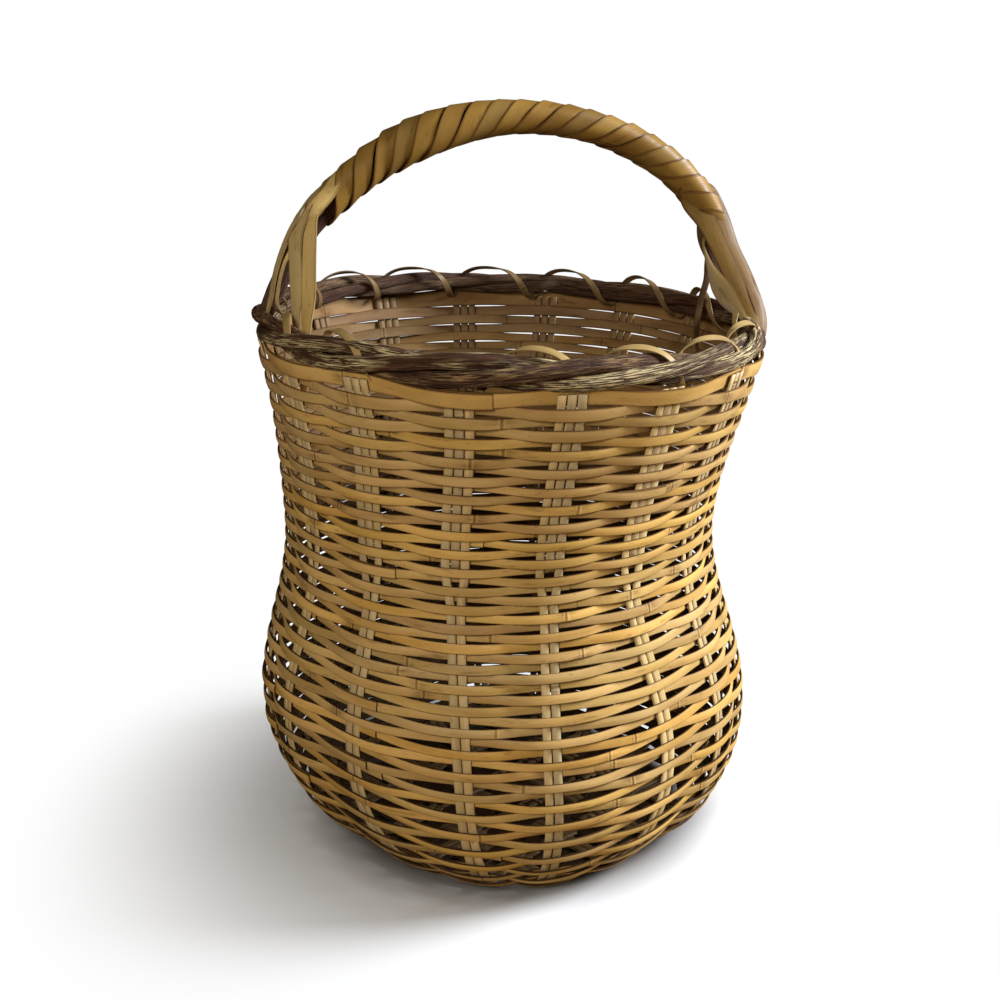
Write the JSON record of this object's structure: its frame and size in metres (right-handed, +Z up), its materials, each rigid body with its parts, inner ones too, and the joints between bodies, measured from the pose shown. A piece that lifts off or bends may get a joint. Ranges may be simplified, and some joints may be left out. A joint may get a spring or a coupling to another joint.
{
  "type": "wicker basket with hoop handle",
  "caption": "Hand-woven split-cane basket: square woven foot, swollen belly, narrow waist, flared mouth bound with twisted bark vine, fixed wrapped hoop handle",
  "frame": {"origin": "middle of the bounding box, on the surface that the foot stands on", "axes": "+Z up, the longest extent; -Y is the front corner of the square foot; the hoop handle runs nearly along X, turned 15 degrees towards +Y at its +X end"},
  "size_m": [0.2926, 0.2909, 0.4195],
  "materials": {
    "weaver_cane": "split cane, satin, golden olive tan with darker nodes",
    "stake_cane": "rounded pale cream cane strips, satin",
    "foot_cane": "flat split cane, worn and dull",
    "bark_vine": "rough dark purple-brown bark with grey-yellow flecks",
    "lashing_cane": "thin pale cane, satin",
    "handle_core_vine": "dark vine rod, rough",
    "handle_cane": "broad flat cane strips, smooth satin tan"
  },
  "bodies": {
    "root": {"foot_slats_lower": "foot_cane", "foot_slats_upper": "foot_cane", "handle_core": "handle_core_vine", "handle_leg_left_back": "handle_cane", "handle_leg_left_front": "handle_cane", "handle_leg_right_inner": "handle_cane", "handle_leg_right_outer": "handle_cane", "handle_wrap": "handle_cane", "let_in_stakes_1": "stake_cane", "let_in_stakes_2": "stake_cane", "let_in_stakes_3": "stake_cane", "let_in_stakes_4": "stake_cane", "rim_lashing": "lashing_cane", "rim_vine_1": "bark_vine", "rim_vine_2": "bark_vine", "rim_vine_3": "bark_vine", "stake_run_1": "stake_cane", "stake_run_2": "stake_cane", "stake_run_3": "stake_cane", "stake_run_4": "stake_cane", "stake_run_5": "stake_cane", "stake_run_6": "stake_cane", "stake_run_7": "stake_cane", "stake_run_8": "stake_cane", "weaver_rows_01": "weaver_cane", "weaver_rows_02": "weaver_cane", "weaver_rows_03": "weaver_cane", "weaver_rows_04": "weaver_cane", "weaver_rows_05": "weaver_cane", "weaver_rows_06": "weaver_cane", "weaver_rows_07": "weaver_cane", "weaver_rows_08": "weaver_cane", "weaver_rows_09": "weaver_cane", "weaver_rows_10": "weaver_cane", "weaver_rows_11": "weaver_cane", "weaver_rows_12": "weaver_cane", "weaver_rows_13": "weaver_cane", "weaver_rows_14": "weaver_cane", "weaver_rows_15": "weaver_cane", "weaver_rows_16": "weaver_cane", "weaver_rows_17": "weaver_cane", "weaver_rows_18": "weaver_cane", "weaver_rows_19": "weaver_cane", "weaver_rows_20": "weaver_cane", "weaver_rows_21": "weaver_cane", "weaver_rows_22": "weaver_cane", "weaver_rows_23": "weaver_cane", "weaver_rows_24": "weaver_cane", "weaver_rows_25": "weaver_cane", "weaver_rows_26": "weaver_cane", "weaver_rows_27": "weaver_cane", "weaver_rows_28": "weaver_cane"}
  },
  "joints": []
}
